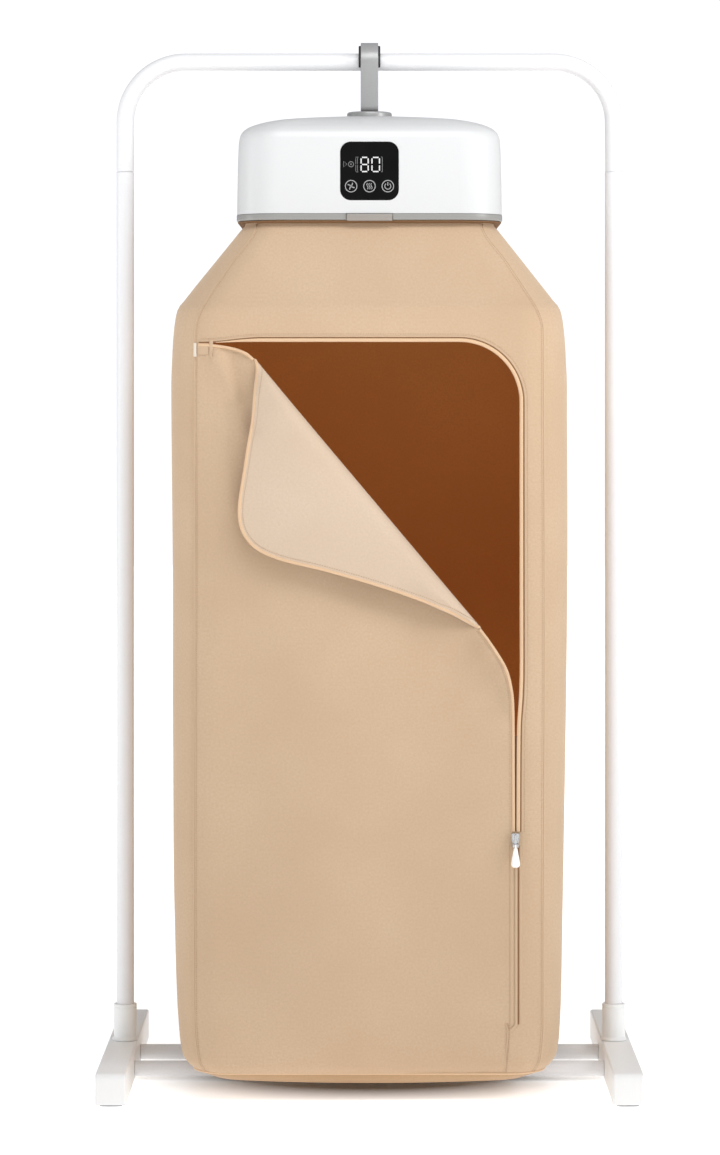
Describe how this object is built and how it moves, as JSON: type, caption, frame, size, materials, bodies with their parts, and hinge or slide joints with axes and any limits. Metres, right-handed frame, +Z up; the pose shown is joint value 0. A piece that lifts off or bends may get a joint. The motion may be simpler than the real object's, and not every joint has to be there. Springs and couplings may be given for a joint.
{
  "type": "electric clothes dryer",
  "caption": "Hanging fabric clothes dryer: a blower head with a touch panel on a tubular stand, a zipped cloth cabinet below it and folding hanger arms inside.",
  "frame": {"origin": "on the floor under the middle of the stand", "axes": "+Z up, -Y towards the front with the touch panel and the door, +X to the right seen from the front"},
  "size_m": [0.746, 0.5349, 1.4706],
  "materials": {
    "white_steel": "gloss",
    "white_plastic": "satin",
    "grey_plastic": "satin",
    "hook_grey": "satin",
    "black_rubber": "matte",
    "bare_steel": "satin",
    "aluminium_fins": "satin",
    "black_glass": "gloss",
    "circuit_board": "satin",
    "dark_plastic": "matte",
    "beige_fabric": "matte",
    "lining_fabric": "matte",
    "zip": "matte",
    "zip_metal": "satin",
    "pull_rubber": "satin"
  },
  "bodies": {
    "stand": {"stand_bow": "white_steel", "post_left": "white_steel", "post_right": "white_steel", "boot_left": "white_plastic", "boot_right": "white_plastic", "foot_left": "white_plastic", "foot_right": "white_plastic", "bar_front": "white_steel", "bar_rear": "white_steel", "bar_screw_front_left": "bare_steel", "bar_screw_front_right": "bare_steel", "bar_screw_rear_left": "bare_steel", "bar_screw_rear_right": "bare_steel", "pad_front_left": "black_rubber", "pad_front_right": "black_rubber", "pad_rear_left": "black_rubber", "pad_rear_right": "black_rubber"},
    "hook": {"hook_strap": "hook_grey", "hook_saddle": "black_rubber", "hook_collar": "hook_grey", "swivel_stud": "bare_steel", "swivel_nut": "bare_steel"},
    "unit": {"head_shell": "white_plastic", "cord_gland": "black_rubber", "case_screw_front_left": "bare_steel", "case_screw_front_right": "bare_steel", "case_screw_rear_left": "bare_steel", "case_screw_rear_right": "bare_steel", "motor_bracket": "bare_steel", "fan_motor": "bare_steel", "arm_pin_left": "bare_steel", "arm_pin_right": "bare_steel", "neck_hoop": "bare_steel", "shoulder_hoop": "bare_steel", "base_tray": "grey_plastic", "outlet_grille": "grey_plastic", "intake_grille": "grey_plastic", "arm_hub": "grey_plastic", "panel_glass": "black_glass", "display_board": "circuit_board", "power_board": "circuit_board", "heater_frame": "dark_plastic", "fan_duct": "dark_plastic", "intake_filter": "dark_plastic", "heater_core": "aluminium_fins", "cover_front": "beige_fabric", "cover_back": "beige_fabric", "cover_left": "beige_fabric", "cover_right": "beige_fabric", "cover_floor": "beige_fabric", "door_fold": "lining_fabric", "zip_tape": "zip"},
    "fan": {"fan_impeller": "dark_plastic", "fan_shaft": "bare_steel"},
    "arm_left": {"arm_left": "grey_plastic"},
    "arm_right": {"arm_right": "grey_plastic"},
    "clip": {"neck_clip": "grey_plastic"},
    "flap": {"door_leaf": "lining_fabric"},
    "slider": {"zip_slider": "zip_metal"},
    "pull": {"zip_pull": "pull_rubber"}
  },
  "joints": [
    {"name": "hook_slide", "type": "slide", "parent": "stand", "child": "hook", "axis": [1, 0, 0], "range_m": [-0.012, 0.012]},
    {"name": "head_swivel", "type": "hinge", "parent": "hook", "child": "unit", "pos_m": [0, 0, 1.363], "axis": [0, 0, 1], "range_deg": [-15, 15]},
    {"name": "fan_spin", "type": "hinge", "parent": "unit", "child": "fan", "pos_m": [0, 0, 1.264], "axis": [0, 0, 1], "continuous": true},
    {"name": "arm_left_fold", "type": "hinge", "parent": "unit", "child": "arm_left", "pos_m": [-0.018, 0, 1.1067], "axis": [0, -1, 0], "range_deg": [0, 85]},
    {"name": "arm_right_fold", "type": "hinge", "parent": "unit", "child": "arm_right", "pos_m": [0.018, 0, 1.1067], "axis": [0, 1, 0], "range_deg": [0, 85]},
    {"name": "neck_clip_tilt", "type": "hinge", "parent": "unit", "child": "clip", "pos_m": [0, -0.153, 1.2194], "axis": [-1, 0, 0], "range_deg": [0, 20], "stiffness_Nm_per_rad": 0.05, "springref_deg": -5.73},
    {"name": "door_leaf_lift", "type": "hinge", "parent": "unit", "child": "flap", "pos_m": [-0.04966, -0.2713, 0.84349], "axis": [-0.6431, 0, 0.7658], "range_deg": [0, 40]},
    {"name": "zip_run", "type": "slide", "parent": "unit", "child": "slider", "axis": [0, 0, 1], "range_m": [-0.243, 0.135]},
    {"name": "zip_pull_swing", "type": "hinge", "parent": "slider", "child": "pull", "pos_m": [0.199, -0.2455, 0.35398], "axis": [-1, 0, 0], "range_deg": [0, 150]}
  ]
}
